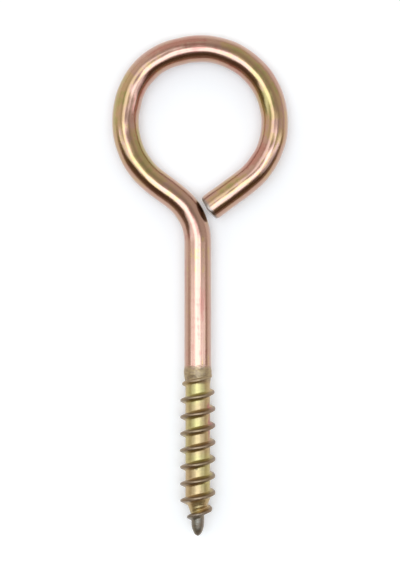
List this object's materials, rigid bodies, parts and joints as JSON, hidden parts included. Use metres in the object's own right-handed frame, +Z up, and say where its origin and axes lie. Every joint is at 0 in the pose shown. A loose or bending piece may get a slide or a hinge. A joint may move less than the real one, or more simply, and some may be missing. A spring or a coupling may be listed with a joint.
{
  "type": "screw eye",
  "caption": "Round steel wire bent into an eye that stops short of its own neck, with a coarse wood thread and blunt point, lying flat.",
  "frame": {"origin": "middle of the part's outline seen from above, on the surface that it lies on", "axes": "+Y along the wire's shank towards the eye, +X across the eye, +Z up out of the surface"},
  "size_m": [0.0392, 0.1112, 0.0081],
  "materials": {
    "yellow_zinc": "steel wire, bright zinc plated and yellow passivated, glossy with an iridescent pink and olive sheen, duller in the rolled thread"
  },
  "bodies": {
    "root": {"screw_eye": "yellow_zinc"}
  },
  "joints": []
}
